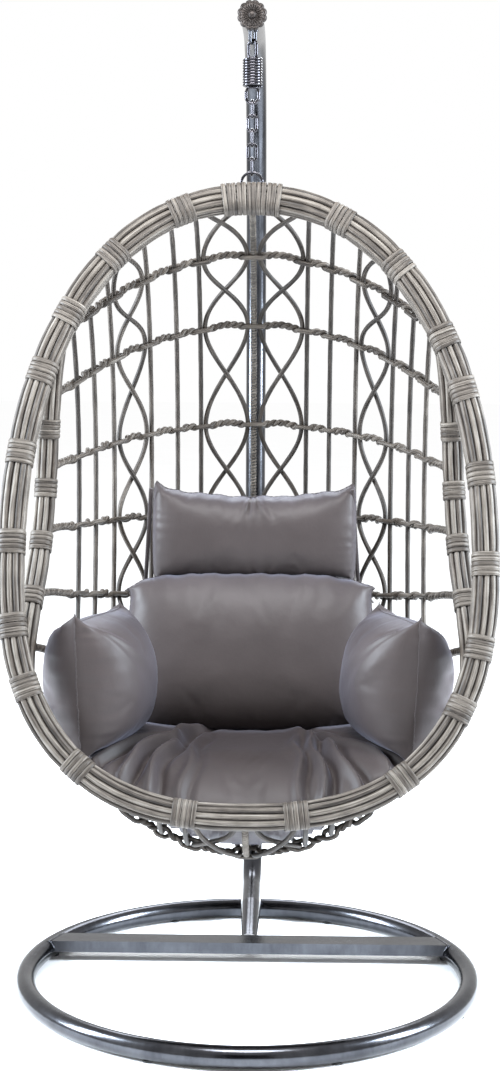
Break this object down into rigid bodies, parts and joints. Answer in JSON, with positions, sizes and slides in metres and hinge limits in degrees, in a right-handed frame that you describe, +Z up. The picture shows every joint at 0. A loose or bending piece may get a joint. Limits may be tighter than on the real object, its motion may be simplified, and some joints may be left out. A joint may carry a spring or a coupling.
{
  "type": "hanging egg chair",
  "caption": "Egg-shaped wicker basket chair with cushions, hung by a chain and a spring from a bowed steel post on a round floor hoop.",
  "frame": {"origin": "floor level, under the middle of the whole chair's box", "axes": "+Z up, -Y the way the sitter faces, +X to the sitter's left"},
  "size_m": [0.9738, 1.1524, 1.9754],
  "materials": {
    "stand_steel": "dark pewter metallic gloss",
    "cap_metal": "antique pewter casting",
    "hanger_steel": "dark nickel plate",
    "basket_steel": "powder coat",
    "glide_rubber": "matt",
    "wicker": "washed grey resin wicker with a fine grain",
    "cushion_fabric": "satin polyester, taupe grey"
  },
  "bodies": {
    "stand": {"base_ring": "stand_steel", "base_crossbar": "stand_steel", "floor_glides": "glide_rubber", "lower_post": "stand_steel", "upper_post": "stand_steel", "post_spigot": "stand_steel", "post_bolts": "stand_steel", "rosette_cap": "cap_metal", "hanger_eye": "stand_steel"},
    "spring_top": {"spring_top_hook": "hanger_steel", "spring_coil": "hanger_steel"},
    "spring_bottom": {"spring_bottom_loop": "hanger_steel"},
    "link_1": {"chain_link_1": "hanger_steel"},
    "link_2": {"chain_link_2": "hanger_steel"},
    "link_3": {"chain_link_3": "hanger_steel"},
    "link_4": {"chain_link_4": "hanger_steel"},
    "link_5": {"chain_link_5": "hanger_steel"},
    "basket": {"hanging_ring": "hanger_steel", "front_hoop_core": "basket_steel", "front_rim_wicker": "wicker", "rim_bands": "wicker", "top_wrap": "wicker", "side_arc_bands": "wicker", "side_arc_core_right": "basket_steel", "side_arc_core_left": "basket_steel", "side_arc_wicker_right": "wicker", "side_arc_wicker_left": "wicker", "spine_core": "basket_steel", "spine_wrap": "wicker", "stake_left_1": "wicker", "stake_left_2": "wicker", "stake_left_3": "wicker", "stake_left_4": "wicker", "stake_left_5": "wicker", "stake_left_6": "wicker", "stake_right_1": "wicker", "stake_right_2": "wicker", "stake_right_3": "wicker", "stake_right_4": "wicker", "stake_right_5": "wicker", "stake_right_6": "wicker", "rope_row_1": "wicker", "rope_row_2": "wicker", "rope_row_3": "wicker", "rope_row_4": "wicker", "rope_row_5": "wicker", "rope_row_6": "wicker", "rope_row_7": "wicker", "rope_row_8": "wicker", "lattice_centre_left": "wicker", "lattice_centre_right": "wicker", "lattice_side_left": "wicker", "lattice_side_right": "wicker", "seat_cushion": "cushion_fabric", "back_cushion": "cushion_fabric", "arm_cushion_left": "cushion_fabric", "arm_cushion_right": "cushion_fabric", "head_pillow": "cushion_fabric", "pillow_ties": "cushion_fabric"}
  },
  "joints": [
    {"name": "spring_swing", "type": "hinge", "parent": "stand", "child": "spring_top", "pos_m": [0, -0.05625, 1.9], "axis": [1, 0, 0], "range_deg": [-12, 5]},
    {"name": "spring_stretch", "type": "slide", "parent": "spring_top", "child": "spring_bottom", "axis": [0, 0, -1], "range_m": [0, 0.02], "stiffness_N_per_m": 40000, "springref_m": -0.011, "deforming": ["spring_coil"]},
    {"name": "link_1_swing", "type": "hinge", "parent": "spring_bottom", "child": "link_1", "pos_m": [0, -0.05625, 1.784], "axis": [1, 0, 0], "range_deg": [-3, 1]},
    {"name": "link_2_tilt", "type": "hinge", "parent": "link_1", "child": "link_2", "pos_m": [0, -0.05625, 1.7564], "axis": [0, 1, 0], "range_deg": [-8, 8]},
    {"name": "link_3_swing", "type": "hinge", "parent": "link_2", "child": "link_3", "pos_m": [0, -0.05625, 1.7283], "axis": [1, 0, 0], "range_deg": [-3, 1]},
    {"name": "link_4_tilt", "type": "hinge", "parent": "link_3", "child": "link_4", "pos_m": [0, -0.05625, 1.7002], "axis": [0, 1, 0], "range_deg": [-8, 8]},
    {"name": "link_5_swing", "type": "hinge", "parent": "link_4", "child": "link_5", "pos_m": [0, -0.05625, 1.6721], "axis": [1, 0, 0], "range_deg": [-3, 1]},
    {"name": "basket_swivel", "type": "hinge", "parent": "link_5", "child": "basket", "pos_m": [0, -0.05625, 1.644], "axis": [0, 0, 1], "range_deg": [-30, 30]}
  ]
}
